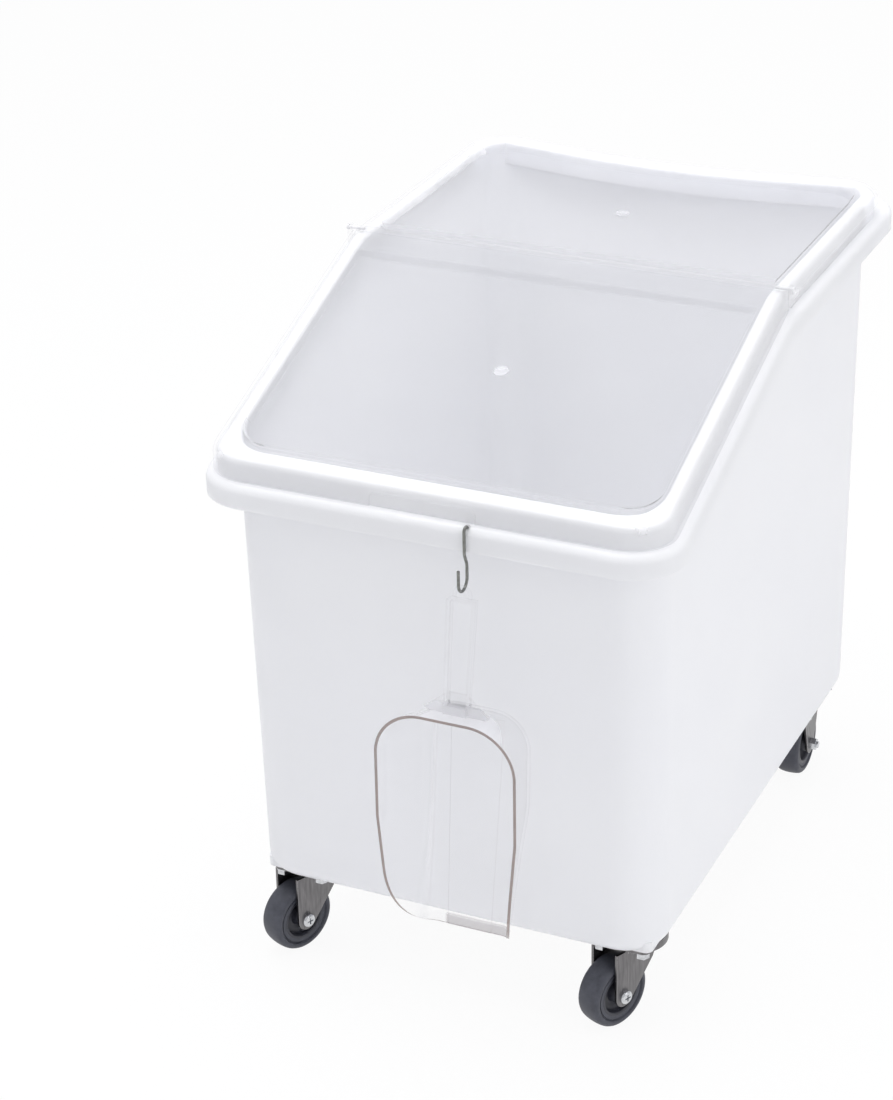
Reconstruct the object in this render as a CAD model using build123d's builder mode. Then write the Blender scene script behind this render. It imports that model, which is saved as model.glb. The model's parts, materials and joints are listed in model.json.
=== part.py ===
from build123d import *
import math
import os

os.makedirs("parts", exist_ok=True)

# Overall sizes of the bin, in millimetres
rim_width = 498.5
rim_length = 749.0
rim_corner = 55.0
lid_top = 711.0
nose_drop = 106.5
nose_length = 45.2
slope_angle = 19.0
break_radius = 70.0
nose_radius = 30.0

# Tub walls: how far the rim stands out from their tops, and how much they lean in to the floor
caster_height = 101.6
side_overhang = 22.25
front_overhang = 28.5
back_overhang = 36.5
side_taper = 4.0
front_taper = 24.0
back_taper = 4.0
wall_corner = 48.0
wall = 5.0
floor_wall = 6.0
base_edge = 18.0

# Rolled rim: a lip that carries the lids, a ledge outside it and a band that hangs from the ledge
rim_wall = 3.5
lip_inset = 11.75
lip_edge = 7.0
lip_inner_edge = 4.5
ledge_drop = 27.0
band_drop = 52.0
band_edge = 9.0
band_foot = 1.2

# Shelf of the ledge behind the lids: it draws the back edge of lip and lids in to an open bow
shelf = 18.0
bow_depth = 42.0
bow_bend = 800.0
shelf_lip = 15.5
shelf_reach = 110.0

# Clear lids
lid_wall = 3.0
seat_gap = 0.3
skirt_inset = 7.7
lid_edge = 9.0
front_skirt = 26.0
rear_skirt = 13.0
tray_gap = 1.5
recess_depth = 7.5
recess_draft = 4.0
front_recess_start = 36.5
front_recess_corner = 33.0
rear_recess_gap = 24.0
rear_recess_back = 36.8
rear_bow_depth = 34.0
rear_recess_corner = 34.0
sharp_corner = 4.0
notch_width = 110.0
notch_rise = 16.0
notch_corner = 7.0

# Hinge between the lids
hinge_past_break = 12.0
bead_radius = 3.2
bead_gap = 1.3
pin_radius = 1.6
pin_clearance = 0.05
pin_depth = 15.0
pin_head_radius = 3.0
pin_head = 2.0
ear_gap = 0.5
ear_wall = 3.0
ear_half = 5.0
ear_reach = 14.0
ear_length = 24.0

# Wire hook through the ledge
hook_x = 48.5
wire_radius = 1.5
hook_hole_radius = 2.75
hook_gap = 0.3
hook_leg_inset = 6.3
hook_top_bend = 4.2
hook_leg = 5.0
shank_top = 23.0
shank_slant = 12.0
shank_bend = 14.0
hook_bottom_drop = 52.2
hook_bottom_bend = 10.0
hook_shank_inset = 3.5
hook_tip = 15.0

# Scoop, measured from the bar of its eye
bar_radius = 2.0
eye_half = 8.0
eye_height = 12.5
handle_width_top = 28.0
handle_width_low = 24.0
handle_depth = 12.0
handle_wall = 2.5
handle_lean = 8.6
scoop_wall = 3.0
lip_forward = 50.0
lip_half = 74.0
lip_low_half = 60.0
lip_corner = 50.0
lip_below = 119.0
heel_back = 36.0
heel_half = 56.0
heel_low_half = 29.0
heel_corner = 38.0
heel_below = 144.0
knee_below = 240.0
knee_radius = 90.0
mouth_below = 385.0
mouth_back = 6.0
mouth_arc = 96.0
back_fillet = 12.0
rib_half_top = 28.0
rib_half_low = 23.0
rib_rise = 1.2
gusset_length = 22.0
gusset_height = 12.0
gusset_wall = 2.5

# Casters
plate_length = 92.0
plate_width = 62.0
plate_corner = 8.0
plate_wall = 3.0
hole_spacing_x = 44.5
hole_spacing_y = 76.2
front_caster_side = 43.0
front_caster_front = 63.0
rear_caster_side = 40.0
rear_caster_back = 74.0
swivel_turn = -24.0
wheel_radius = 38.0
wheel_width = 28.0
wheel_shoulder = 7.0
hub_radius = 25.0
hub_rim = 5.0
hub_rim_width = 25.0
hub_web = 8.0
hub_boss_radius = 10.0
side_gap = 0.5
sleeve_radius = 6.0
axle_radius = 4.0
running = 0.06
axle_gap = 1.5
fork_wall = 3.0
trail = 33.0
leg_end = 11.5
leg_back = 17.0
leg_kink_back = 7.0
leg_kink_height = 69.0
leg_top = 88.0
crown_front = 24.0
race_radius = 34.0
race_wall = 2.5
race_rise = 5.0
ball_circle = 26.0
ball_gap = 0.3
ball_count = 16
kingpin_radius = 6.0
kingpin_head_radius = 10.0
kingpin_head = 2.5
kingpin_nut_radius = 10.0
kingpin_nut = 6.5
rigid_leg_half = 29.0
rigid_kink_half = 20.0
rigid_kink_height = 66.0
bolt_head_radius = 7.5
bolt_head = 4.5
bolt_head_edge = 2.7
nut_across = 13.0
nut_height = 6.5
thread_end = 2.5

# Caster screws, their washers and the threaded inserts in the tub
screw_radius = 4.0
screw_head_radius = 6.5
screw_head = 5.0
washer_radius = 7.5
washer_wall = 1.6
insert_radius = 6.0
insert_length = 11.0
screw_length = 10.0
thread_gap = 0.05
pad_height = 14.0
pad_margin = 8.0
driver_slot = 1.6

# Margin by which a cutter runs past the face that it cuts, least run of the lids' line behind the
# hinge, and limits that sort faces and edges
cut_margin = 1.0
profile_tail = 8.0
level_limit = 0.01
steep_limit = 0.9

# Values that follow from the sizes above
slope = math.tan(math.radians(slope_angle))
slope_cos = math.cos(math.radians(slope_angle))
nose_top = lid_top - nose_drop
nose_y = -rim_length / 2 + nose_length
break_y = nose_y + nose_drop / slope
shelf_start = rim_length / 2 - shelf_reach
top_width = rim_width - 2 * side_overhang
top_front = -rim_length / 2 + front_overhang
top_back = rim_length / 2 - back_overhang
base_width = top_width - 2 * side_taper
base_front = top_front + front_taper
base_back = top_back - back_taper
front_caster_x = base_width / 2 - front_caster_side
front_caster_y = base_front + front_caster_front
rear_caster_x = base_width / 2 - rear_caster_side
rear_caster_y = base_back - rear_caster_back
lip_drop = lid_wall + seat_gap
ledge_height = nose_top - ledge_drop
hinge_y = break_y + hinge_past_break
bead_height = lid_top + hinge_past_break * slope
hinge_height = bead_height - bead_radius / slope_cos
lid_half = rim_width / 2 - skirt_inset
lid_back = rim_length / 2 - shelf
recess_half = top_width / 2 - wall - tray_gap
front_recess_end = (hinge_y - nose_y) / slope_cos
rear_recess_start = hinge_y + rear_recess_gap
ear_tail = hinge_y + ear_length

hook_leg_y = -rim_length / 2 + hook_leg_inset
hook_pivot_y = hook_leg_y - hook_top_bend
hole_edge = hook_leg_inset - hook_hole_radius
hole_edge_drop = band_edge - math.sqrt(band_edge**2 - (band_edge - hole_edge) ** 2)
hook_seat = hook_top_bend - wire_radius - hook_gap
hook_seat_rise = math.sqrt(hook_seat**2 - (hook_top_bend - hook_hole_radius) ** 2)
hook_pivot_height = ledge_height - hole_edge_drop - hook_seat_rise
hook_low_y = -rim_length / 2 + hook_shank_inset - hook_bottom_bend
hook_low_height = ledge_height - hook_bottom_drop
eye_y = hook_low_y
eye_height_above = hook_low_height - hook_bottom_bend + wire_radius + hook_gap + bar_radius
scoop_front = lip_forward - eye_y
tub_y = (scoop_front - rim_length / 2) / 2

plate_under = caster_height - plate_wall
fork_inner = wheel_width / 2 + axle_gap
fork_outer = fork_inner + fork_wall
crown_top = leg_top + fork_wall
ball_radius = (plate_under - crown_top) / 2 - ball_gap


def plan(height):
    """Level plane at a height, centred on the tub."""
    return Plane(origin=(0, tub_y, height), x_dir=(1, 0, 0), z_dir=(0, 0, 1))


def side(x):
    """Upright plane at x: its first axis runs to the back of the tub, its second up."""
    return Plane(origin=(x, tub_y, 0), x_dir=(0, 1, 0), z_dir=(1, 0, 0))


def facing(y):
    """Upright plane at y: its first axis runs along the width, its second up."""
    return Plane(origin=(0, tub_y + y, 0), x_dir=(1, 0, 0), z_dir=(0, -1, 0))


def rim_line(drop):
    """Corners and bend radii of the rim's side profile, lowered square to itself."""
    shift = drop * math.tan(math.radians(slope_angle / 2))
    points = [
        (-rim_length, nose_top - drop),
        (nose_y + shift, nose_top - drop),
        (break_y + shift, lid_top - drop),
        (rim_length, lid_top - drop),
    ]
    return points, [nose_radius + drop, break_radius - drop]


def front_line(drop):
    """Like rim_line, but the slope runs on past the hinge, to the tub's middle or further back."""
    shift = drop * math.tan(math.radians(slope_angle / 2))
    end = max(0, hinge_y + profile_tail)
    end_height = lid_top - drop / slope_cos + (end - break_y) * slope
    points = [
        (-rim_length, nose_top - drop),
        (nose_y + shift, nose_top - drop),
        (end, end_height),
    ]
    return points, [nose_radius + drop]


def rim_face(inset):
    """Plan outline of the rim, drawn in by inset."""
    with BuildSketch() as outline:
        RectangleRounded(rim_width - 2 * inset, rim_length - 2 * inset, rim_corner - inset)
    return outline.sketch


def lid_face(inset):
    """Like rim_face, but its back edge stands in from the rim's and bows in, as lip and lids do."""
    half = rim_width / 2
    with BuildSketch() as outline:
        with BuildLine():
            FilletPolyline(
                (-half, -rim_length / 2),
                (half, -rim_length / 2),
                (half, lid_back),
                (0, lid_back - bow_depth),
                (-half, lid_back),
                radius=[rim_corner, rim_corner, rim_corner, bow_bend, rim_corner],
                close=True,
            )
        make_face()
        offset(amount=-inset)
    return outline.sketch


def shelf_face(inset):
    """Everything behind the bowed back edge of the lids, drawn in by inset, with no corners to it."""
    back = lid_back - inset / math.cos(math.atan(2 * bow_depth / rim_width))
    with BuildSketch() as outline:
        with BuildLine():
            bow = FilletPolyline(
                (-rim_width, back + bow_depth),
                (0, back - bow_depth),
                (rim_width, back + bow_depth),
                radius=bow_bend + inset,
            )
            Polyline(bow @ 0, (-rim_width, rim_length), (rim_width, rim_length), bow @ 1)
        make_face()
    return outline.sketch


def profile_layer(line, face, top_drop, bottom_drop):
    """Block between two lowered profiles, inside a plan outline."""
    upper, upper_bends = line(top_drop)
    lower, lower_bends = line(bottom_drop)
    with BuildPart() as layer:
        with BuildSketch(side(0)):
            with BuildLine():
                top = FilletPolyline(*upper, radius=upper_bends)
                bottom = FilletPolyline(*lower, radius=lower_bends)
                Line(top @ 0, bottom @ 0)
                Line(top @ 1, bottom @ 1)
            make_face()
        extrude(amount=rim_width, both=True)
        with BuildSketch(plan(0)):
            add(face)
        extrude(amount=2 * lid_top, mode=Mode.INTERSECT)
    return layer


def below_lip():
    """Everything under the top of the lip."""
    upper, bends = rim_line(lip_drop)
    with BuildPart() as space:
        with BuildSketch(side(0)):
            with BuildLine():
                top = FilletPolyline(*upper, radius=bends)
                Polyline(top @ 0, (-rim_length, 0), (rim_length, 0), top @ 1)
            make_face()
        extrude(amount=rim_width, both=True)
    return space


def outer_edges(solid):
    """Edges of the upright outer faces that run round the outline."""
    walls = solid.faces().filter_by(lambda face: abs(face.normal_at().Z) < level_limit)
    return walls.edges().filter_by(lambda edge: abs((edge % 0.5).Z) < steep_limit)


def top_height(y):
    """Height of the lid tops over the place y, counted from the tub's centre."""
    return min(lid_top, max(nose_top, lid_top + (y - break_y) * slope))


def upper_edges(edges, drop, reach):
    """Those edges that lie within reach of the profile lowered by drop."""
    return edges.filter_by(
        lambda edge: abs((edge @ 0.5).Z - top_height((edge @ 0.5).Y - tub_y) + drop) < reach
    )


def wall_outline(height, inset):
    """Rounded outline of the tapered wall at a height. Used inside a BuildSketch."""
    share = (height - caster_height) / (lid_top - caster_height)
    width = base_width + (top_width - base_width) * share
    front = base_front + (top_front - base_front) * share
    back = base_back + (top_back - base_back) * share
    with Locations((0, (front + back) / 2)):
        RectangleRounded(width - 2 * inset, back - front - 2 * inset, wall_corner - inset)


def wall_block(inset, bottom, top, edge):
    """Tapered block of the tub's wall, rounded at its lower edge."""
    with BuildPart() as block:
        with BuildSketch(plan(bottom)):
            wall_outline(bottom, inset)
        with BuildSketch(plan(top)):
            wall_outline(top, inset)
        loft()
        fillet(block.faces().sort_by(Axis.Z)[0].edges(), edge)
    return block


def opening_edges(solid, hollow):
    """Edges round the tub's mouth, where the top of the lip meets the hollow."""
    ring = upper_edges(solid.edges(), lip_drop, lip_edge)
    return ring.filter_by(lambda edge: hollow.distance_to(edge @ 0.5) < level_limit)


def caster_places():
    """Centre of each caster's mounting plate, counted from the tub's centre."""
    return {
        "front_left": (-front_caster_x, front_caster_y),
        "front_right": (front_caster_x, front_caster_y),
        "rear_left": (-rear_caster_x, rear_caster_y),
        "rear_right": (rear_caster_x, rear_caster_y),
    }


def screw_places():
    """Centre of each of the sixteen caster screws, counted from the tub's centre."""
    return [
        (x + dx * hole_spacing_x / 2, y + dy * hole_spacing_y / 2)
        for x, y in caster_places().values()
        for dx in (-1, 1)
        for dy in (-1, 1)
    ]


# Tub: rim band and ledge, lip, walls, hollow, caster pads and the hook's hole
band = profile_layer(rim_line, rim_face(0), ledge_drop, band_drop)
with BuildPart() as band_block:
    add(band.part)
    fillet(upper_edges(outer_edges(band_block), ledge_drop, band_edge), band_edge)
    fillet(upper_edges(outer_edges(band_block), band_drop, band_edge), band_foot)

lip = profile_layer(rim_line, lid_face(lip_inset), lip_drop, ledge_drop + rim_wall)
with BuildPart() as lip_block:
    add(lip.part)
    fillet(upper_edges(outer_edges(lip_block), lip_drop, lip_edge), lip_edge)

ledge_hollow = profile_layer(rim_line, rim_face(rim_wall), ledge_drop + rim_wall, band_drop + wall)
with BuildPart() as under_ledge:
    add(ledge_hollow.part)
    ring = upper_edges(outer_edges(under_ledge), ledge_drop + rim_wall, band_edge)
    fillet(ring, band_edge - rim_wall)

lip_hollow = profile_layer(
    rim_line, rim_face(lip_inset + rim_wall), lip_drop + rim_wall, ledge_drop + 2 * rim_wall
)
with BuildPart() as under_lip:
    add(lip_hollow.part)
    with BuildSketch(plan(0)):
        with Locations((0, shelf_start)):
            Rectangle(rim_width, rim_length, align=(Align.CENTER, Align.MIN))
    extrude(amount=2 * lid_top, mode=Mode.SUBTRACT)

# Behind the lip the ledge is a shelf: the hollow stops under it, and the wall ends at it
with BuildPart() as cavity:
    add(wall_block(wall, caster_height + floor_wall, lid_top + wall, base_edge - wall).part)
    with BuildSketch(plan(lid_top - ledge_drop - rim_wall)):
        add(shelf_face(lip_inset + shelf_lip))
    extrude(amount=lid_top, mode=Mode.SUBTRACT)

with BuildPart() as wall_shell:
    add(wall_block(0, caster_height, lid_top, base_edge).part)
    add(below_lip().part, mode=Mode.INTERSECT)
    with BuildSketch(plan(lid_top - ledge_drop)):
        with Locations((0, shelf_start)):
            Rectangle(rim_width, rim_length, align=(Align.CENTER, Align.MIN))
        add(lid_face(lip_inset), mode=Mode.SUBTRACT)
    extrude(amount=lid_top, mode=Mode.SUBTRACT)

with BuildPart() as behind_lip:
    with BuildSketch(plan(lid_top - ledge_drop)):
        with Locations((0, shelf_start)):
            Rectangle(rim_width, rim_length, align=(Align.CENTER, Align.MIN))
    extrude(amount=ledge_drop)
    add(lip_block.part, mode=Mode.SUBTRACT)

with BuildPart() as tub:
    add(band_block.part)
    add(lip_block.part)
    add(under_ledge.part, mode=Mode.SUBTRACT)
    add(under_lip.part, mode=Mode.SUBTRACT)
    add(wall_shell.part)
    add(cavity.part, mode=Mode.SUBTRACT)
    fillet(opening_edges(tub, cavity.part), lip_inner_edge)
    add(behind_lip.part, mode=Mode.SUBTRACT)
    with BuildSketch(plan(caster_height + floor_wall / 2)):
        with Locations(*caster_places().values()):
            RectangleRounded(plate_width + pad_margin, plate_length + pad_margin, plate_corner)
    extrude(amount=pad_height - floor_wall / 2)
    with BuildSketch(plan(caster_height)):
        with Locations(*screw_places()):
            Circle(insert_radius)
    extrude(amount=insert_length, mode=Mode.SUBTRACT)
    with BuildSketch(plan(ledge_height - band_edge - cut_margin)):
        with Locations((hook_x, hook_leg_y)):
            Circle(hook_hole_radius)
    extrude(amount=band_edge + 2 * cut_margin, mode=Mode.SUBTRACT)
tub.part.label = "tub"
export_step(tub.part, "parts/tub.step")


# Clear lids: each is a shell with a skirt and a sunk panel
def lid_plane(y):
    """Plane on the front lid's top: its second axis runs up the slope."""
    height = lid_top + (y - break_y) * slope
    tilt = math.radians(slope_angle)
    return Plane(
        origin=(0, tub_y + y, height),
        x_dir=(1, 0, 0),
        z_dir=(0, -math.sin(tilt), math.cos(tilt)),
    )


def panel_block(plane, near, far, near_corner, far_corner, dip, top, bottom, grow):
    """Drafted block of a sunk panel between two depths below its plane. Its far edge bows in by dip."""
    with BuildPart() as block:
        for depth in (top, bottom):
            inset = depth * recess_draft / recess_depth - grow
            half = recess_half - inset
            middle = [(0, far - inset - dip)] if dip else []
            points = [
                (-half, near + inset),
                (half, near + inset),
                (half, far - inset),
                *middle,
                (-half, far - inset),
            ]
            bends = [near_corner - inset] * 2 + [far_corner] + [bow_bend] * len(middle) + [far_corner]
            with BuildSketch(plane.offset(-depth)):
                with BuildLine():
                    FilletPolyline(*points, radius=bends, close=True)
                make_face()
        loft()
    return block


with BuildPart() as front_hollow:
    add(profile_layer(front_line, lid_face(skirt_inset + lid_wall), lid_wall, front_skirt + wall).part)
    fillet(upper_edges(outer_edges(front_hollow), lid_wall, lid_edge), lid_edge - lid_wall)

front_panel = (lid_plane(hinge_y), -front_recess_end, -front_recess_start)
front_corners = (front_recess_corner, sharp_corner, 0)
with BuildPart() as front_lid:
    add(profile_layer(front_line, lid_face(skirt_inset), 0, front_skirt).part)
    fillet(upper_edges(outer_edges(front_lid), 0, lid_edge), lid_edge)
    add(front_hollow.part, mode=Mode.SUBTRACT)
    with BuildSketch(plan(0)):
        with Locations((0, hinge_y)):
            Rectangle(rim_width, rim_length, align=(Align.CENTER, Align.MIN))
    extrude(amount=2 * lid_top, mode=Mode.SUBTRACT)
    add(panel_block(*front_panel, *front_corners, lid_wall / 2, recess_depth + lid_wall, lid_wall).part)
    add(panel_block(*front_panel, *front_corners, -cut_margin, recess_depth, 0).part, mode=Mode.SUBTRACT)
    with BuildSketch(side(0)):
        with Locations((hinge_y, hinge_height)):
            Circle(bead_radius)
    extrude(amount=lid_half, both=True)
    for end in (-1, 1):
        with BuildSketch(side(end * lid_half)):
            with Locations((hinge_y, hinge_height)):
                Circle(pin_radius + pin_clearance)
        extrude(amount=-end * pin_depth, mode=Mode.SUBTRACT)
    with BuildSketch(facing(-rim_length / 2)):
        with Locations((0, ledge_height)):
            RectangleRounded(notch_width, 2 * notch_rise, notch_corner)
    extrude(amount=-skirt_inset - lid_wall - seat_gap, mode=Mode.SUBTRACT)
front_lid.part.label = "front_lid"
export_step(front_lid.part, "parts/front_lid.step")

rear_front = hinge_y + bead_radius + bead_gap
rear_panel = (plan(lid_top), rear_recess_start, lid_back - skirt_inset - rear_recess_back)
rear_corners = (sharp_corner, rear_recess_corner, rear_bow_depth)
ear_inner = lid_half + ear_gap
with BuildPart() as rear_hollow:
    with BuildSketch(plan(lid_top - rear_skirt - cut_margin)):
        add(lid_face(skirt_inset + lid_wall))
    extrude(amount=rear_skirt + cut_margin - lid_wall)
    fillet(rear_hollow.faces().sort_by(Axis.Z)[-1].edges(), lid_edge - lid_wall)

with BuildPart() as rear_lid:
    with BuildSketch(plan(lid_top - rear_skirt)):
        add(lid_face(skirt_inset))
    extrude(amount=rear_skirt)
    fillet(rear_lid.faces().sort_by(Axis.Z)[-1].edges(), lid_edge)
    add(rear_hollow.part, mode=Mode.SUBTRACT)
    with BuildSketch(plan(0)):
        with Locations((0, rear_front)):
            Rectangle(rim_width, rim_length, align=(Align.CENTER, Align.MAX))
    extrude(amount=2 * lid_top, mode=Mode.SUBTRACT)
    add(panel_block(*rear_panel, *rear_corners, lid_wall / 2, recess_depth + lid_wall, lid_wall).part)
    add(panel_block(*rear_panel, *rear_corners, -cut_margin, recess_depth, 0).part, mode=Mode.SUBTRACT)
    for end in (-1, 1):
        with BuildSketch(side(end * ear_inner)):
            with Locations((hinge_y, hinge_height - ear_reach / 2)):
                SlotCenterToCenter(ear_reach, 2 * ear_half, rotation=90)
        extrude(amount=end * ear_wall)
        with BuildSketch(side(end * ear_inner)):
            with BuildLine():
                Polyline(
                    (hinge_y, hinge_height - ear_reach / 2),
                    (hinge_y, hinge_height - ear_reach),
                    (ear_tail, lid_top - rear_skirt),
                    (ear_tail, hinge_height - ear_reach / 2),
                    close=True,
                )
            make_face()
        extrude(amount=end * ear_wall)
        with BuildSketch(side(end * (lid_half - lid_wall / 2))):
            with BuildLine():
                Polyline(
                    (rear_front + bead_radius, lid_top - lid_edge),
                    (rear_front + bead_radius, lid_top - rear_skirt),
                    (ear_tail, lid_top - rear_skirt),
                    (ear_tail, lid_top - lid_edge),
                    close=True,
                )
            make_face()
        extrude(amount=end * (lid_wall / 2 + ear_gap + ear_wall))
    with BuildSketch(side(0)):
        with Locations((hinge_y, hinge_height)):
            Circle(pin_radius + pin_clearance)
    extrude(amount=rim_width, both=True, mode=Mode.SUBTRACT)
rear_lid.part.label = "rear_lid"
export_step(rear_lid.part, "parts/rear_lid.step")

# Two headed pins: each runs through an ear into the end of the front lid's bead
with BuildPart() as lid_hinge_pins:
    for end in (-1, 1):
        with BuildSketch(side(end * (ear_inner + ear_wall))):
            with Locations((hinge_y, hinge_height)):
                Circle(pin_radius)
        extrude(amount=-end * (pin_depth + ear_gap + ear_wall - side_gap))
        with BuildSketch(side(end * (ear_inner + ear_wall))):
            with Locations((hinge_y, hinge_height)):
                Circle(pin_head_radius)
        extrude(amount=end * pin_head)
lid_hinge_pins.part.label = "lid_hinge_pins"
export_step(lid_hinge_pins.part, "parts/lid_hinge_pins.step")

# Wire hook: a short leg in the ledge's hole, a shank before the band, a round lower bend
shank_y = hook_pivot_y - hook_top_bend
low_leg_y = hook_low_y + hook_bottom_bend
with BuildPart() as s_hook:
    with BuildLine(side(hook_x)) as wire_path:
        leg = Line(
            (hook_leg_y, hook_pivot_height - hook_leg), (hook_leg_y, hook_pivot_height)
        )
        CenterArc((hook_pivot_y, hook_pivot_height), hook_top_bend, 0, 180)
        FilletPolyline(
            (shank_y, hook_pivot_height),
            (shank_y, hook_pivot_height - shank_top),
            (low_leg_y, hook_pivot_height - shank_top - shank_slant),
            (low_leg_y, hook_low_height),
            radius=shank_bend,
        )
        CenterArc((hook_low_y, hook_low_height), hook_bottom_bend, 0, -180)
        Line(
            (hook_low_y - hook_bottom_bend, hook_low_height),
            (hook_low_y - hook_bottom_bend, hook_low_height + hook_tip),
        )
    with BuildSketch(Plane(origin=wire_path.wires()[0] @ 0, z_dir=wire_path.wires()[0] % 0)):
        Circle(wire_radius)
    sweep(path=wire_path.wires()[0])
s_hook.part.label = "s_hook"
export_step(s_hook.part, "parts/s_hook.step")


# Scoop: a bowl that narrows to its mouth, a channel handle and a hanging eye
lip_y = eye_y - lip_forward
heel_y = eye_y + heel_back
heel_z = eye_height_above - heel_below
mouth_y = eye_y + mouth_back
mouth_z = eye_height_above - mouth_below
back_length = math.hypot(heel_y - mouth_y, heel_z - mouth_z)
back_lean = math.atan2(heel_y - mouth_y, heel_z - mouth_z)


def leaning(y, height, lean, forward):
    """Plane that leans by lean from upright: its second axis runs up along it, its third forward."""
    plane = Plane(
        origin=(hook_x, tub_y + y, height),
        x_dir=(1, 0, 0),
        z_dir=(0, -math.cos(lean), math.sin(lean)),
    )
    return plane.offset(forward)


def bowl_outline(half, low_half, top, corner, inset):
    """Corners and bend radii of the bowl's outline, seen from the front."""
    low = mouth_z - back_fillet
    knee = eye_height_above - knee_below
    points = [
        (hook_x - low_half + inset, low),
        (hook_x - half + inset, knee),
        (hook_x - half + inset, top - inset),
        (hook_x + half - inset, top - inset),
        (hook_x + half - inset, knee),
        (hook_x + low_half - inset, low),
    ]
    return points, [0, knee_radius, corner - inset, corner - inset, knee_radius, 0]


def bowl_block(inset):
    """Solid of the bowl drawn in by inset, flat at its leaning back."""
    with BuildPart() as block:
        for y, sizes in (
            (lip_y, (lip_half, lip_low_half, eye_height_above - lip_below, lip_corner)),
            (heel_y, (heel_half, heel_low_half, heel_z, heel_corner)),
        ):
            points, bends = bowl_outline(*sizes, inset)
            with BuildSketch(facing(y)):
                with BuildLine():
                    FilletPolyline(*points, radius=bends, close=True)
                make_face()
        loft()
        split(bisect_by=leaning(heel_y, heel_z, back_lean, inset), keep=Keep.TOP)
        back = block.faces().sort_by(Axis.Y)[-1]
        ring = back.edges().filter_by(lambda edge: (edge @ 0.5).Z > mouth_z)
        fillet(ring, back_fillet - inset)
    return block


handle_tilt = math.radians(handle_lean)
handle_plane = leaning(eye_y, eye_height_above, handle_tilt, 0)
handle_low = (lip_below + handle_depth) / math.cos(handle_tilt)
with BuildPart() as handle:
    with BuildSketch(leaning(eye_y, eye_height_above, handle_tilt, -handle_depth / 2)):
        with BuildLine():
            Polyline(
                (-handle_width_top / 2, -eye_height),
                (handle_width_top / 2, -eye_height),
                (handle_width_low / 2, -handle_low),
                (-handle_width_low / 2, -handle_low),
                close=True,
            )
        make_face()
    extrude(amount=handle_depth)
    with BuildSketch(leaning(eye_y, eye_height_above, handle_tilt, -handle_depth / 2)):
        with BuildLine():
            Polyline(
                (-handle_width_top / 2 + handle_wall, -eye_height - handle_wall),
                (handle_width_top / 2 - handle_wall, -eye_height - handle_wall),
                (handle_width_low / 2 - handle_wall, -handle_low),
                (-handle_width_low / 2 + handle_wall, -handle_low),
                close=True,
            )
        make_face()
    extrude(amount=handle_depth - handle_wall, mode=Mode.SUBTRACT)

with BuildPart() as eye:
    with BuildLine(handle_plane) as eye_path:
        Line((-eye_half, -eye_height - handle_wall / 2), (-eye_half, -eye_half))
        CenterArc((0, -eye_half), eye_half, 180, -180)
        Line((eye_half, -eye_half), (eye_half, -eye_height - handle_wall / 2))
    with BuildSketch(Plane(origin=eye_path.wires()[0] @ 0, z_dir=eye_path.wires()[0] % 0)):
        Circle(bar_radius)
    sweep(path=eye_path.wires()[0])

arc_height = mouth_z + math.sqrt(mouth_arc**2 - (mouth_arc - mouth_y + lip_y) ** 2)
arc_turn = math.degrees(math.acos(1 - (mouth_y - lip_y) / mouth_arc))
with BuildPart() as scoop:
    add(handle.part)
    add(eye.part)
    add(bowl_block(0).part)
    with BuildSketch(leaning(eye_y, eye_height_above, handle_tilt, -gusset_wall / 2)):
        with BuildLine():
            Polyline(
                (-handle_width_low / 2 - gusset_length, -handle_low + gusset_height / 2),
                (-handle_width_low / 2 + handle_wall, -lip_below + gusset_height),
                (handle_width_low / 2 - handle_wall, -lip_below + gusset_height),
                (handle_width_low / 2 + gusset_length, -handle_low + gusset_height / 2),
                (0, -handle_low - gusset_height),
                close=True,
            )
        make_face()
    extrude(amount=gusset_wall)
    add(bowl_block(scoop_wall).part, mode=Mode.SUBTRACT)
    with BuildSketch(leaning(heel_y, heel_z, back_lean, scoop_wall / 2)):
        with BuildLine():
            Polyline(
                (-rib_half_low, -back_length - back_fillet),
                (-rib_half_top, -back_fillet),
                (rib_half_top, -back_fillet),
                (rib_half_low, -back_length - back_fillet),
                close=True,
            )
        make_face()
    extrude(amount=scoop_wall / 2 + rib_rise)
    with BuildSketch(side(hook_x)):
        with BuildLine():
            CenterArc((lip_y + mouth_arc, arc_height), mouth_arc, 180, arc_turn)
            Polyline(
                (mouth_y, mouth_z),
                (heel_y, mouth_z),
                (heel_y, 0),
                (lip_y - mouth_arc, 0),
                (lip_y - mouth_arc, arc_height),
                (lip_y, arc_height),
            )
        make_face()
    extrude(amount=rim_width, both=True, mode=Mode.SUBTRACT)
scoop.part.label = "scoop"
export_step(scoop.part, "parts/scoop.step")


# Casters: frames, wheels and axles
def caster_base(x, y, turn):
    """Floor plane under a caster: its first axis runs along the axle, its second away from the trail."""
    angle = math.radians(turn)
    return Plane(
        origin=(x, tub_y + y, 0), x_dir=(math.cos(angle), math.sin(angle), 0), z_dir=(0, 0, 1)
    )


def upright(base, offset):
    """Plane square to the axle: its first axis runs away from the trail, its second up."""
    return Plane(
        origin=base.from_local_coords((offset, 0, 0)), x_dir=base.y_dir, z_dir=base.x_dir
    )


def axle_plane(base, back):
    """Plane through the middle of the wheel: its first axis runs along the axle, its second up."""
    return Plane(
        origin=base.from_local_coords((0, -back, wheel_radius)), x_dir=base.x_dir, z_dir=-base.y_dir
    )


def mounting_plate(base):
    """Four-hole plate under the tub."""
    with BuildPart() as plate:
        with BuildSketch(base.offset(plate_under)):
            RectangleRounded(plate_width, plate_length, plate_corner)
            with GridLocations(hole_spacing_x, hole_spacing_y, 2, 2):
                Circle(screw_radius + running, mode=Mode.SUBTRACT)
        extrude(amount=plate_wall)
    return plate.part


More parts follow.
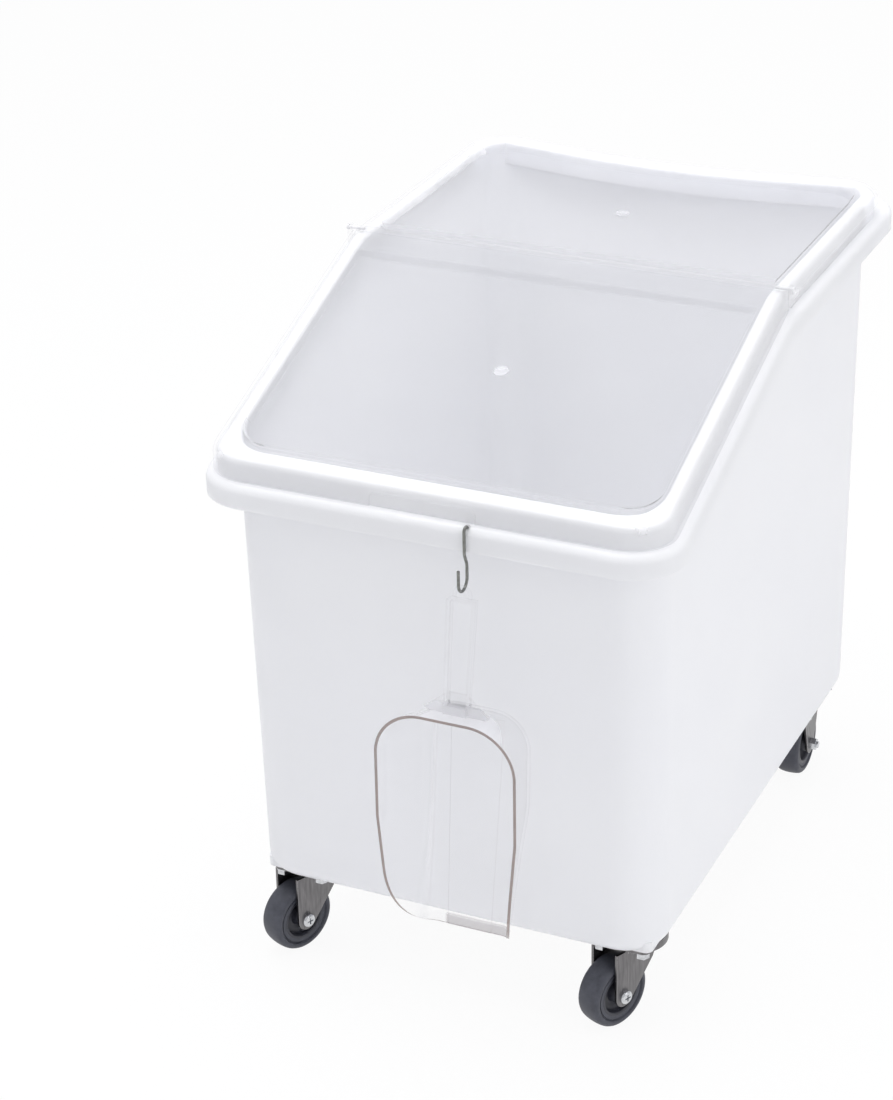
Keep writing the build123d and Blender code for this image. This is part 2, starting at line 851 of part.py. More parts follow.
def fork_legs(base, back, corners):
    """Two fork legs with a round end at the axle."""
    with BuildPart() as legs:
        for start, amount in ((-fork_outer, fork_wall), (fork_outer, -fork_wall)):
            with BuildSketch(upright(base, start)) as outline:
                with BuildLine():
                    Polyline(*corners, close=True)
                make_face()
                with Locations((-back, wheel_radius)):
                    Circle(leg_end)
                make_hull(outline.edges())
                with Locations((-back, wheel_radius)):
                    Circle(axle_radius + running, mode=Mode.SUBTRACT)
            extrude(amount=amount)
    return legs.part


def axle_rod(plane, radius, start, end):
    """Round rod along the axle between two places on it."""
    with BuildPart() as rod:
        with BuildSketch(Plane(origin=plane.from_local_coords((start, 0, 0)), z_dir=plane.x_dir)):
            Circle(radius)
        extrude(amount=end - start)
    return rod.part


def wheel_pieces(name, plane, head_side):
    """Tread, hub, sleeve, bolt and nut on one axle. The bolt's head is on head_side."""
    axle = Axis(plane.origin, plane.x_dir)
    half = wheel_width / 2
    boss_half = fork_inner - side_gap
    with BuildPart() as tread:
        with BuildSketch(plane):
            with BuildLine():
                FilletPolyline(
                    (-half, hub_radius + hub_rim),
                    (-half, wheel_radius),
                    (half, wheel_radius),
                    (half, hub_radius + hub_rim),
                    radius=wheel_shoulder,
                )
                Polyline(
                    (half, hub_radius + hub_rim),
                    (hub_rim_width / 2, hub_radius + hub_rim),
                    (hub_rim_width / 2, hub_radius),
                    (-hub_rim_width / 2, hub_radius),
                    (-hub_rim_width / 2, hub_radius + hub_rim),
                    (-half, hub_radius + hub_rim),
                )
            make_face()
        revolve(axis=axle)
    tread.part.label = name + "_wheel_tread"
    export_step(tread.part, f"parts/{name}_wheel_tread.step")

    with BuildPart() as hub:
        with BuildSketch(plane):
            for width, low, high in (
                (hub_rim_width, hub_radius - hub_rim, hub_radius),
                (hub_web, hub_boss_radius / 2 + sleeve_radius / 2, hub_radius - hub_rim / 2),
                (2 * boss_half, sleeve_radius + running, hub_boss_radius),
            ):
                with Locations((0, (low + high) / 2)):
                    Rectangle(width, high - low)
        revolve(axis=axle)
    hub.part.label = name + "_wheel_hub"
    export_step(hub.part, f"parts/{name}_wheel_hub.step")

    with BuildPart() as sleeve:
        with BuildSketch(plane):
            with Locations((0, (sleeve_radius + axle_radius + running) / 2)):
                Rectangle(2 * fork_inner, sleeve_radius - axle_radius - running)
        revolve(axis=axle)
    sleeve.part.label = name + "_axle_sleeve"
    export_step(sleeve.part, f"parts/{name}_axle_sleeve.step")

    nut_face = -head_side * (fork_outer + nut_height)
    head_face = head_side * (fork_outer + bolt_head)
    with BuildPart() as bolt:
        add(axle_rod(plane, axle_radius, nut_face - head_side * thread_end, head_side * fork_outer))
        add(axle_rod(plane, bolt_head_radius, head_side * fork_outer, head_face))
        rounded = bolt.edges().filter_by(GeomType.CIRCLE).sort_by(Axis(plane.origin, plane.x_dir))
        fillet(rounded[-1] if head_side > 0 else rounded[0], bolt_head_edge)
        slots = Plane(
            origin=plane.from_local_coords((head_face, 0, 0)), x_dir=(0, 0, 1), z_dir=plane.x_dir
        )
        with BuildSketch(slots):
            Rectangle(bolt_head_radius, driver_slot)
            Rectangle(driver_slot, bolt_head_radius)
        extrude(amount=-head_side * bolt_head / 2, mode=Mode.SUBTRACT)
    bolt.part.label = name + "_axle_bolt"
    export_step(bolt.part, f"parts/{name}_axle_bolt.step")

    with BuildPart() as nut:
        face = plane.from_local_coords((-head_side * fork_outer, 0, 0))
        with BuildSketch(Plane(origin=face, x_dir=(0, 0, 1), z_dir=plane.x_dir)):
            RegularPolygon(nut_across / 2, 6, major_radius=False)
            Circle(axle_radius + thread_gap, mode=Mode.SUBTRACT)
        extrude(amount=-head_side * nut_height)
    nut.part.label = name + "_axle_nut"
    export_step(nut.part, f"parts/{name}_axle_nut.step")


def swivel_caster(name, x, y):
    """Front caster: fixed plate and kingpin, and a fork that turns under it on balls."""
    straight = caster_base(x, y, 0)
    turned = caster_base(x, y, swivel_turn)
    centre = Axis(straight.origin, (0, 0, 1))
    section = Plane(origin=straight.origin, x_dir=(1, 0, 0), z_dir=(0, -1, 0))
    with BuildPart() as plate:
        add(mounting_plate(straight))
        with BuildSketch(section):
            with BuildLine():
                Polyline(
                    (0, caster_height),
                    (kingpin_head_radius, caster_height),
                    (kingpin_radius, caster_height - kingpin_head),
                    (kingpin_radius, 0),
                    (0, 0),
                    close=True,
                )
            make_face()
        revolve(axis=centre, mode=Mode.SUBTRACT)
    plate.part.label = name + "_plate"
    export_step(plate.part, f"parts/{name}_plate.step")

    nut_top = leg_top - ball_gap
    with BuildPart() as kingpin:
        with BuildSketch(section):
            with BuildLine():
                Polyline(
                    (0, caster_height),
                    (kingpin_head_radius, caster_height),
                    (kingpin_radius, caster_height - kingpin_head),
                    (kingpin_radius, nut_top - kingpin_nut),
                    (0, nut_top - kingpin_nut),
                    close=True,
                )
            make_face()
        revolve(axis=centre)
    kingpin.part.label = name + "_kingpin"
    export_step(kingpin.part, f"parts/{name}_kingpin.step")

    with BuildPart() as kingpin_nut_piece:
        with BuildSketch(straight.offset(nut_top - kingpin_nut)):
            RegularPolygon(kingpin_nut_radius, 6)
            Circle(kingpin_radius + thread_gap, mode=Mode.SUBTRACT)
        extrude(amount=kingpin_nut)
    kingpin_nut_piece.part.label = name + "_kingpin_nut"
    export_step(kingpin_nut_piece.part, f"parts/{name}_kingpin_nut.step")

    with BuildPart(turned.offset((crown_top + plate_under) / 2)) as balls:
        with PolarLocations(ball_circle, ball_count):
            Sphere(ball_radius)
    balls.part.label = name + "_swivel_balls"
    export_step(balls.part, f"parts/{name}_swivel_balls.step")

    with BuildPart() as fork:
        with BuildSketch(turned.offset(leg_top)):
            Circle(race_radius)
            with Locations((0, (leg_back - crown_front) / 2)):
                Rectangle(2 * fork_outer, leg_back + crown_front)
        extrude(amount=fork_wall)
        with BuildSketch(turned.offset(crown_top)):
            Circle(race_radius)
            Circle(race_radius - race_wall, mode=Mode.SUBTRACT)
        extrude(amount=race_rise)
        corners = (
            (-trail - leg_end, crown_top),
            (-trail - leg_end, wheel_radius),
            (leg_kink_back, leg_kink_height),
            (leg_back, crown_top),
        )
        add(fork_legs(turned, trail, corners))
        with BuildSketch(turned.offset(leg_top)):
            Circle(kingpin_radius + running)
        extrude(amount=fork_wall, mode=Mode.SUBTRACT)
    fork.part.label = name + "_swivel_fork"
    export_step(fork.part, f"parts/{name}_swivel_fork.step")
    wheel_pieces(name, axle_plane(turned, trail), 1)


def rigid_caster(name, x, y, head_side):
    """Rear caster: plate and fork legs are one pressing."""
    base = caster_base(x, y, 0)
    with BuildPart() as frame:
        add(mounting_plate(base))
        corners = (
            (-rigid_leg_half, caster_height - plate_wall / 2),
            (-rigid_kink_half, rigid_kink_height),
            (rigid_kink_half, rigid_kink_height),
            (rigid_leg_half, caster_height - plate_wall / 2),
        )
        add(fork_legs(base, 0, corners))
    frame.part.label = name + "_rigid_fork"
    export_step(frame.part, f"parts/{name}_rigid_fork.step")
    wheel_pieces(name, axle_plane(base, 0), head_side)


places = caster_places()
swivel_caster("front_left", *places["front_left"])
swivel_caster("front_right", *places["front_right"])
rigid_caster("rear_left", *places["rear_left"], 1)
rigid_caster("rear_right", *places["rear_right"], -1)

# Screws, washers and inserts: one of each at every hole of the mounting plates
with BuildPart() as threaded_inserts:
    with BuildSketch(plan(caster_height)):
        with Locations(*screw_places()):
            Circle(insert_radius)
            Circle(screw_radius + thread_gap, mode=Mode.SUBTRACT)
    extrude(amount=insert_length)
threaded_inserts.part.label = "threaded_inserts"
export_step(threaded_inserts.part, "parts/threaded_inserts.step")

with BuildPart() as spring_washers:
    with BuildSketch(plan(plate_under - washer_wall)):
        with Locations(*screw_places()):
            Circle(washer_radius)
            Circle(screw_radius + running, mode=Mode.SUBTRACT)
    extrude(amount=washer_wall)
spring_washers.part.label = "spring_washers"
export_step(spring_washers.part, "parts/spring_washers.step")

with BuildPart() as caster_screws:
    with BuildSketch(plan(plate_under - washer_wall)):
        with Locations(*screw_places()):
            Circle(screw_radius)
    extrude(amount=washer_wall + plate_wall + screw_length)
    with BuildSketch(plan(plate_under - washer_wall - screw_head)):
        with Locations(*screw_places()):
            RegularPolygon(screw_head_radius, 6, major_radius=False)
    extrude(amount=screw_head)
caster_screws.part.label = "caster_screws"
export_step(caster_screws.part, "parts/caster_screws.step")
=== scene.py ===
"""Looks of a mobile ingredient bin: white tub, clear two-piece lid, clear scoop on a hook, four casters."""
import json
import math

import bmesh
import bpy
from mathutils import Matrix, Vector
from mathutils.bvhtree import BVHTree


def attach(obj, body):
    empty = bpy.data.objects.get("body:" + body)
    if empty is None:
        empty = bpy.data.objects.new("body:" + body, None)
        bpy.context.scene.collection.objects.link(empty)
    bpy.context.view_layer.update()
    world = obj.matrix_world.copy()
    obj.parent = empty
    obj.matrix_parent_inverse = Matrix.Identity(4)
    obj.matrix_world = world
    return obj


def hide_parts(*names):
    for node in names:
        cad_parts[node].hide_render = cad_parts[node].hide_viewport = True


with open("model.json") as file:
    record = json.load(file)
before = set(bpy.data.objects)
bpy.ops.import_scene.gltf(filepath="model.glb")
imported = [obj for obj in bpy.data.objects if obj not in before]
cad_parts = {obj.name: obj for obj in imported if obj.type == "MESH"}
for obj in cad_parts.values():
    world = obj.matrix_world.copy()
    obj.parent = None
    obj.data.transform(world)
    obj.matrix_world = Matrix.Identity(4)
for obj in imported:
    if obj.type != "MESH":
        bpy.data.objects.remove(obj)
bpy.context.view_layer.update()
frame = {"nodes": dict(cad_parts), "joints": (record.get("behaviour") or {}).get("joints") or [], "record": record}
nodes = frame["nodes"]
MM = 0.001


# Shader maths: a wrapped socket adds its own nodes when it is used in an expression
class Shade:
    """A shader value that can be added, multiplied and so on."""

    def __init__(self, paint, socket):
        self.paint = paint
        self.socket = socket

    def _math(self, operation, *values):
        return self.paint.node("ShaderNodeMath", {"operation": operation}, dict(enumerate(values)))

    def __add__(self, other):
        return self._math("ADD", self, other)

    def __sub__(self, other):
        return self._math("SUBTRACT", self, other)

    def __rsub__(self, other):
        return self._math("SUBTRACT", other, self)

    def __mul__(self, other):
        return self._math("MULTIPLY", self, other)

    def __truediv__(self, other):
        return self._math("DIVIDE", self, other)

    def __pow__(self, other):
        return self._math("POWER", self, other)

    def clamp(self):
        return self._math("MAXIMUM", self._math("MINIMUM", self, 1.0), 0.0)

    def size(self):
        """The value without its sign."""
        return self._math("ABSOLUTE", self)


class Paint:
    """A material made of nodes, with one Principled shader."""

    def __init__(self, name, colour, **settings):
        self.material = bpy.data.materials.new(name)
        self.material.use_nodes = True
        self.tree = self.material.node_tree
        self.shader = self.tree.nodes["Principled BSDF"]
        self.shader.inputs["Base Color"].default_value = (*colour, 1.0)
        for socket, value in settings.items():
            self.shader.inputs[socket.replace("_", " ")].default_value = value

    def node(self, kind, settings=None, inputs=None, output=0):
        """Adds a node: settings first, then the values or links of its sockets."""
        made = self.tree.nodes.new(kind)
        for key, value in (settings or {}).items():
            setattr(made, key, value)
        for key, value in (inputs or {}).items():
            if isinstance(value, Shade):
                self.tree.links.new(value.socket, made.inputs[key])
            else:
                made.inputs[key].default_value = value
        return Shade(self, made.outputs[output])

    def place(self, scale=(1, 1, 1)):
        """Object coordinates, stretched by scale."""
        spot = self.node("ShaderNodeTexCoord", output="Object")
        return self.node("ShaderNodeMapping", {}, {"Vector": spot, "Scale": scale})

    def noise(self, size, detail=2.0, scale=(1, 1, 1), rough=0.5):
        """Noise with features of about that size, in metres."""
        return self.node(
            "ShaderNodeTexNoise", {},
            {"Vector": self.place(scale), "Scale": 1 / size, "Detail": detail, "Roughness": rough},
        )

    def blend(self, mask, low, high):
        """Colour between low and high."""
        return self.node(
            "ShaderNodeMix", {"data_type": "RGBA"},
            {0: mask, 6: low if isinstance(low, Shade) else (*low, 1.0),
             7: high if isinstance(high, Shade) else (*high, 1.0)}, output=2,
        )

    def facing(self):
        """From 0 where a face is seen flat on to 1 where it is seen edge on."""
        return self.node("ShaderNodeLayerWeight", {}, {"Blend": 0.5}, output="Facing")

    def spread(self, value, low, high):
        """Value mapped from the middle of its range to the span low to high."""
        return self.node(
            "ShaderNodeMapRange", {},
            {"Value": value, "From Min": 0.3, "From Max": 0.7, "To Min": low, "To Max": high},
        )

    def feed(self, socket, value):
        self.tree.links.new(value.socket, self.shader.inputs[socket])

    def bump(self, height, strength, distance):
        self.feed("Normal", self.node(
            "ShaderNodeBump", {}, {"Height": height, "Strength": strength, "Distance": distance}
        ))


def tub_white():
    """Milky polyethylene: a little light comes through the walls."""
    paint = Paint("tub_white", (0.87, 0.875, 0.9), Roughness=0.42, IOR=1.5, Subsurface_Weight=0.8,
                  Subsurface_Radius=(1.0, 1.0, 1.0), Subsurface_Scale=0.015)
    cloud = paint.noise(0.25, 2.0)
    paint.feed("Base Color", paint.blend(
        paint.spread(cloud, 0, 1), (0.86, 0.866, 0.9), (0.885, 0.89, 0.915)
    ))
    grain = paint.noise(0.0022, 2.0)
    paint.feed("Roughness", paint.spread(paint.noise(0.06, 3.0), 0.36, 0.46))
    wave = paint.noise(0.05, 1.0)
    paint.bump(grain * 0.25 + wave * 2.0, 0.25, 0.0004)
    return paint.material


# Clear plastic: its refraction, and where between flat on (0) and edge on (1) its colour starts to
# turn to a darker tone, a painted reflection of dark surroundings, and how fast it turns
PLASTIC_IOR = 1.49
RIM_START = 0.7
RIM_RISE = 4.0


def clear_plastic(name, face, edge, thin, dense):
    """Clear plastic: nearly nothing where it is seen flat on, denser where it is seen edge on, and there painted
    in a darker tone that stands for reflected dark surroundings.
    """
    paint = Paint(name, face, Roughness=0.05, IOR=PLASTIC_IOR)
    rim = paint.facing()
    # The darker edge tone is a painted reflection; the rising alpha is the plastic's own density edge on
    paint.feed("Base Color", paint.blend(((rim - RIM_START) * RIM_RISE).clamp(), face, edge))
    paint.feed("Alpha", rim ** 3 * (dense - thin) + thin)
    paint.feed("Roughness", paint.spread(paint.noise(0.12, 3.0), 0.03, 0.09))
    paint.bump(paint.noise(0.09, 1.0), 0.1, 0.001)
    return paint.material


# Paint of the scoop, in millimetres: height of the band of painted shade above its lowest point, middle
# and half width of the clearer, paler block of painted light in that band, the same of the two painted
# highlight streaks, and height and half width of the joint to the handle. The band's sharpness is how fast it
# fades in, per metre.
BAND_HEIGHT = 12.0
BAND_SHARPNESS = 900.0
LIGHT_PATCH = (6.0, 17.0)
HIGHLIGHT_STREAKS = ((-24.0, 3.0), (2.0, 4.0))
SCOOP_JOINT = 393.0
JOINT_HALF = 10.0


def scoop_plastic(name, face, edge, thin, dense):
    """Clear plastic of the scoop: painted highlight streaks down its back, and a band of painted shade along its
    lower lip with a block of painted light in it.
    """
    paint = Paint(name, face, Roughness=0.05, IOR=PLASTIC_IOR)
    spot = paint.node("ShaderNodeTexCoord", output="Object")
    x = paint.node("ShaderNodeSeparateXYZ", {}, {0: spot}, output=0)
    z = paint.node("ShaderNodeSeparateXYZ", {}, {0: spot}, output=2)
    low = min((nodes["scoop"].matrix_world @ vert.co).z for vert in nodes["scoop"].data.vertices)

    def hill(value, middle, half):
        """From 1 at the middle down to 0 at the half width."""
        return (1.0 - ((value - middle * MM) / (half * MM)).size()).clamp()

    rim = paint.facing()
    # Band of painted shade along the lower lip, lighter and clearer in a block of painted light
    shade_band = ((low + BAND_HEIGHT * MM - z) * BAND_SHARPNESS).clamp()
    joint = (hill(z, SCOOP_JOINT, JOINT_HALF) * 4.0).clamp()
    light_patch = (hill(x, *LIGHT_PATCH) * 8.0).clamp()
    # Two painted highlight streaks down the back
    first, second = (hill(x, *column) for column in HIGHLIGHT_STREAKS)
    painted_highlight = (first + second).clamp() * 0.7
    shade_and_light = paint.blend(light_patch, (0.55, 0.52, 0.54), (0.95, 0.95, 0.98))
    # Darker tone edge on: a painted reflection, as on the other clear pieces
    body = paint.blend(((rim - RIM_START) * RIM_RISE).clamp(), face, edge)
    paint.feed("Base Color", paint.blend(shade_band, paint.blend(painted_highlight, body, (0.97, 0.97, 0.99)), shade_and_light))
    clear = rim ** 3 * (dense - thin) + thin
    paint.feed("Alpha", (clear + painted_highlight * 0.22 + joint * 0.3 + shade_band * (0.36 - light_patch * 0.3)).clamp())
    paint.feed("Roughness", paint.spread(paint.noise(0.12, 3.0), 0.03, 0.09))
    paint.bump(paint.noise(0.09, 1.0), 0.1, 0.001)
    return paint.material


def plastic_edge(name, low, high, alpha):
    """The edges and steep walls of clear plastic, through which one looks along the sheet."""
    paint = Paint(name, low, Roughness=0.1, IOR=PLASTIC_IOR)
    streak = paint.noise(0.05, 2.0)
    paint.feed("Base Color", paint.blend(paint.spread(streak, 0, 1), low, high))
    paint.feed("Alpha", paint.spread(streak, alpha - 0.1, alpha + 0.1))
    paint.feed("Roughness", paint.spread(paint.noise(0.01, 2.0), 0.06, 0.16))
    return paint.material


def painted_dark_reflection():
    """Steep wall of clear plastic: a painted dark reflection, brown where it is seen edge on, and clear where it
    is seen flat on.
    """
    paint = Paint("lid_painted_reflection", (0.13, 0.075, 0.065), Roughness=0.08, IOR=PLASTIC_IOR)
    along = ((paint.facing() - 0.68) * 7.0).clamp()
    paint.feed("Base Color", paint.blend(along, (0.9, 0.9, 0.93), (0.14, 0.085, 0.075)))
    paint.feed("Alpha", along * 0.84 + 0.1)
    paint.feed("Roughness", paint.spread(paint.noise(0.01, 2.0), 0.06, 0.14))
    return paint.material


def steel(name, low, high, roughness, size, scale=(1, 1, 1)):
    """Metal with a grain of about that size, which scale can draw out along an axis."""
    paint = Paint(name, high, Metallic=1.0, Roughness=roughness)
    grain = paint.noise(size, 4.0, scale)
    paint.feed("Base Color", paint.blend(paint.spread(grain, 0, 1), low, high))
    paint.feed("Roughness", paint.spread(grain, roughness - 0.06, roughness + 0.06))
    paint.bump(grain, 0.15, 0.0002)
    return paint.material


def tread_grey():
    """Scuffed grey rubber."""
    paint = Paint("tread_grey", (0.1, 0.105, 0.13), Roughness=0.5)
    scuff = paint.noise(0.012, 5.0, rough=0.7)
    paint.feed("Base Color", paint.blend(
        paint.spread(scuff, 0, 1), (0.042, 0.045, 0.06), (0.08, 0.084, 0.105)
    ))
    paint.feed("Roughness", paint.spread(scuff, 0.42, 0.62))
    paint.bump(paint.noise(0.0015, 3.0), 0.2, 0.0003)
    return paint.material


def hub_dark():
    """Dark moulded plastic of the wheel hubs."""
    paint = Paint("hub_dark", (0.035, 0.037, 0.05), Roughness=0.4)
    mottle = paint.noise(0.008, 4.0)
    paint.feed("Base Color", paint.blend(
        paint.spread(mottle, 0, 1), (0.02, 0.021, 0.03), (0.042, 0.044, 0.058)
    ))
    paint.feed("Roughness", paint.spread(mottle, 0.34, 0.5))
    paint.bump(paint.noise(0.001, 3.0), 0.2, 0.0002)
    return paint.material


finishes = {
    "tub_white": tub_white(),
    # The second colour of each clear piece is its darker edge-on tone, a painted reflection
    "lid_clear": clear_plastic("lid_clear", (0.93, 0.93, 0.96), (0.85, 0.84, 0.86), 0.04, 0.34),
    "scoop_clear": scoop_plastic("scoop_clear", (0.87, 0.87, 0.9), (0.72, 0.7, 0.71), 0.04, 0.22),
    "lid_edge": plastic_edge("lid_edge", (0.9, 0.9, 0.92), (0.97, 0.97, 0.99), 0.5),
    # Walls round the lids' sunk panels: denser edge on, and brown there as a painted dark reflection
    "lid_painted_reflection": painted_dark_reflection(),
    "lid_mark": plastic_edge("lid_mark", (0.8, 0.8, 0.83), (0.9, 0.9, 0.93), 0.3),
    # Scoop's bevelled edges and mouth: denser thick plastic, coloured dark brown as a painted dark reflection
    "scoop_edge_reflection": plastic_edge("scoop_edge_reflection", (0.2, 0.14, 0.12), (0.34, 0.27, 0.25), 0.85),
    "hook_wire": steel("hook_wire", (0.14, 0.143, 0.135), (0.3, 0.305, 0.29), 0.36, 0.003),
    "fork_steel": steel(
        "fork_steel", (0.14, 0.137, 0.14), (0.23, 0.222, 0.228), 0.36, 0.0025, (1, 1, 0.12)
    ),
    # Bevelled rims of forks and plates: a brighter, glossier copy of the fork steel, a painted highlight
    "fork_rim_highlight": steel("fork_rim_highlight", (0.4, 0.39, 0.39), (0.58, 0.57, 0.57), 0.3, 0.0025),
    "bright_steel": steel("bright_steel", (0.5, 0.51, 0.53), (0.7, 0.71, 0.73), 0.16, 0.004),
    "tread_grey": tread_grey(),
    "hub_dark": hub_dark(),
    "insert_brass": steel("insert_brass", (0.6, 0.45, 0.2), (0.72, 0.58, 0.3), 0.3, 0.002),
}

# Angles in degrees: faces that meet below the first are shaded smooth, edges above the second bevelled
CREASE = 32
SHARP = 35


def finish_mesh(shape, name, slot_name, body, stands_for=(), crease=CREASE, others=()):
    """Turns a bmesh into a shown piece: smooth up to the crease angle, riding on its body."""
    for face in shape.faces:
        face.smooth = True
    for edge in shape.edges:
        edge.smooth = len(edge.link_faces) == 2 and edge.calc_face_angle(0) < math.radians(crease)
    mesh = bpy.data.meshes.new(name)
    for finish in (slot_name, *others):
        mesh.materials.append(finishes[finish])
    shape.to_mesh(mesh)
    shape.free()
    for layer in [layer for layer in mesh.attributes if layer.name == "custom_normal"]:
        mesh.attributes.remove(layer)
    if others and not stands_for:
        mesh.polygons.foreach_set("material_index", [1] * len(mesh.polygons))
    piece = bpy.data.objects.new(name, mesh)
    bpy.context.scene.collection.objects.link(piece)
    if stands_for:
        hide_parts(*stands_for)
    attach(piece, body)


# Mouth of the scoop: radius of its lower bend, how far that bend reaches back, and the slack in finding it
MOUTH_ARC = 96.0
MOUTH_REACH = 56.0
MOUTH_SLACK = 0.7


def mouth_faces(shape):
    """The thin faces round the scoop's mouth: flat in front, and bent back along an arc below."""
    front = min(vert.co.y for vert in shape.verts)
    low = min(vert.co.z for vert in shape.verts)
    arc_y = front + MOUTH_ARC * MM
    arc_z = low + math.sqrt(MOUTH_ARC ** 2 - (MOUTH_ARC - MOUTH_REACH) ** 2) * MM
    near = MOUTH_SLACK * MM

    def on_mouth(spot):
        if spot.z > arc_z:
            return spot.y < front + near
        return abs(math.hypot(spot.y - arc_y, spot.z - arc_z) - MOUTH_ARC * MM) < near

    return [face for face in shape.faces if all(on_mouth(vert.co) for vert in face.verts)]


# Recess of each lid, in millimetres: half width and depth of the space it lies in, then tilt of its
# plane in degrees, a point of the plane in y and z, near and far limits in y, and whether its front
# wall gets the painted dark reflection. Its walls are the faces whose normals lie between two shares of
# the way up, and those painted dark are the ones that turn to the back or to the left by more than a share of
# their own.
RECESS_HALF = 223.0
RECESS_REACH = 12.0
WALL_RISE = (0.2, 0.93)
DARK_WALL_TURN = 0.3
RECESSES = {
    "front_lid": (19.0, (-329.3, 604.5), (-332.0, -41.0), True),
    "rear_lid": (0.0, (0.0, 711.0), (14.0, 313.0), False),
}


def mark_recess(shape, name):
    """Gives the steep wall round a sunk panel its finish: a painted dark reflection at the front and right, pale
    elsewhere.
    """
    tilt, (level_y, level_z), (near, far), front_painted_dark = RECESSES[name]
    level = Vector((0, level_y, level_z))
    up = Vector((0, -math.sin(math.radians(tilt)), math.cos(math.radians(tilt))))
    shape.normal_update()
    for face in shape.faces:
        spot = face.calc_center_median() / MM
        rise = face.normal.dot(up)
        deep = (level - spot).dot(up) > RECESS_REACH
        if deep or abs(spot.x) > RECESS_HALF or not near < spot.y < far:
            continue
        if not WALL_RISE[0] < rise < WALL_RISE[1]:
            continue
        flat = (face.normal - up * rise).normalized()
        # Walls that turn back or left get the painted dark reflection (2), the others the pale edge finish (1)
        face.material_index = 2 if flat.y * front_painted_dark - flat.x > DARK_WALL_TURN else 1


def softened(name, width, body, edge_finishes):
    """Shows a copy of a CAD node instead of it, with bevelled edges that have their own finishes."""
    shape = bmesh.new()
    shape.from_mesh(nodes[name].data)
    shape.transform(nodes[name].matrix_world)
    bmesh.ops.remove_doubles(shape, verts=shape.verts, dist=1e-5)
    bmesh.ops.dissolve_limit(
        shape, angle_limit=math.radians(0.3), verts=shape.verts, edges=shape.edges,
        use_dissolve_boundaries=False,
    )
    if width:
        inner = [edge for edge in shape.edges if len(edge.link_faces) == 2]
        hard = [edge for edge in inner if edge.calc_face_angle(0) > math.radians(SHARP)]
        bmesh.ops.bevel(
            shape, geom=hard, offset=width * MM, segments=2, profile=0.5, affect="EDGES",
            clamp_overlap=True, material=1,
        )
    # The mouth takes the scoop's edge finish, with its painted dark reflection
    if name == "scoop":
        for face in mouth_faces(shape):
            face.material_index = 1
    if name in RECESSES:
        mark_recess(shape, name)
    if name == "lid_hinge_pins":
        for face in shape.faces:
            face.material_index = 1
    finish_mesh(shape, name + "_skin", slots[name], body, (name,), others=edge_finishes)


slots = {row["node"]: row["material_slot"] for row in frame["record"]["subparts"]}
homes = {node: body for body, names in frame["record"]["behaviour"]["bodies"].items() for node in names}
for name, node in nodes.items():
    node.data.materials.clear()
    node.data.materials.append(finishes[slots[name]])

# Softened nodes: name, bevel in millimetres, finishes of the edges
for name, width, edge_finishes in (
    ("tub", 0.0, ()), ("s_hook", 0.0, ()), ("lid_hinge_pins", 0.0, ("lid_edge",)),
    ("front_lid", 0.8, ("lid_edge", "lid_painted_reflection")), ("rear_lid", 0.8, ("lid_edge", "lid_painted_reflection")),
    ("scoop", 0.5, ("scoop_edge_reflection",)),
    ("front_left_swivel_fork", 0.5, ("fork_rim_highlight",)), ("front_right_swivel_fork", 0.5, ("fork_rim_highlight",)),
    ("rear_left_rigid_fork", 0.5, ("fork_rim_highlight",)), ("rear_right_rigid_fork", 0.5, ("fork_rim_highlight",)),
    ("front_left_plate", 0.5, ("fork_rim_highlight",)), ("front_right_plate", 0.5, ("fork_rim_highlight",)),
):
    softened(name, width, homes[name], edge_finishes)

# Wheels: treads and hubs turned on a lathe, in place of the plain ones of the solid model. The lines
# are points of radius and distance from the wheel's middle, in millimetres, for one side of the wheel.
TREAD_LINE = [
    (24.6, 12.3), (28.2, 12.5), (28.6, 11.6), (29.4, 11.4), (30.0, 12.0), (30.4, 13.5),
    (31.4, 14.0), (33.0, 13.9), (34.6, 13.2), (36.0, 12.0), (36.9, 10.3), (37.5, 7.5), (37.85, 4.0),
    (38.0, 0.0),
]
HUB_LINE = [
    (6.1, 15.0), (9.2, 15.0), (10.0, 14.2), (10.4, 7.5), (11.6, 5.0), (15.0, 4.2), (18.6, 4.6),
    (20.2, 6.0), (20.9, 9.2), (21.3, 11.4), (22.0, 12.4), (23.4, 12.6), (24.6, 12.3),
]
LATHE_STEPS = 96
WHEEL_CREASE = 50


def lathe(line, centre, axle, steps=LATHE_STEPS):
    """Ring swept round the axle by a closed line of (radius, distance along the axle) in millimetres."""
    shape = bmesh.new()
    first = axle.orthogonal().normalized()
    second = axle.cross(first)
    rings = []
    for step in range(steps):
        angle = 2 * math.pi * step / steps
        out = first * math.cos(angle) + second * math.sin(angle)
        spots = [centre + (out * radius + axle * along) * MM for radius, along in line]
        rings.append([shape.verts.new(spot) for spot in spots])
    for step in range(steps):
        here, there = rings[step], rings[(step + 1) % steps]
        for index in range(len(line)):
            after = (index + 1) % len(line)
            shape.faces.new((here[index], here[after], there[after], there[index]))
    bmesh.ops.recalc_face_normals(shape, faces=shape.faces)
    return shape


def both_sides(half_line):
    """The line of one side of a wheel, followed by its mirror image."""
    mirrored = [(radius, -along) for radius, along in reversed(half_line)]
    return half_line + [point for point in mirrored if point not in half_line]


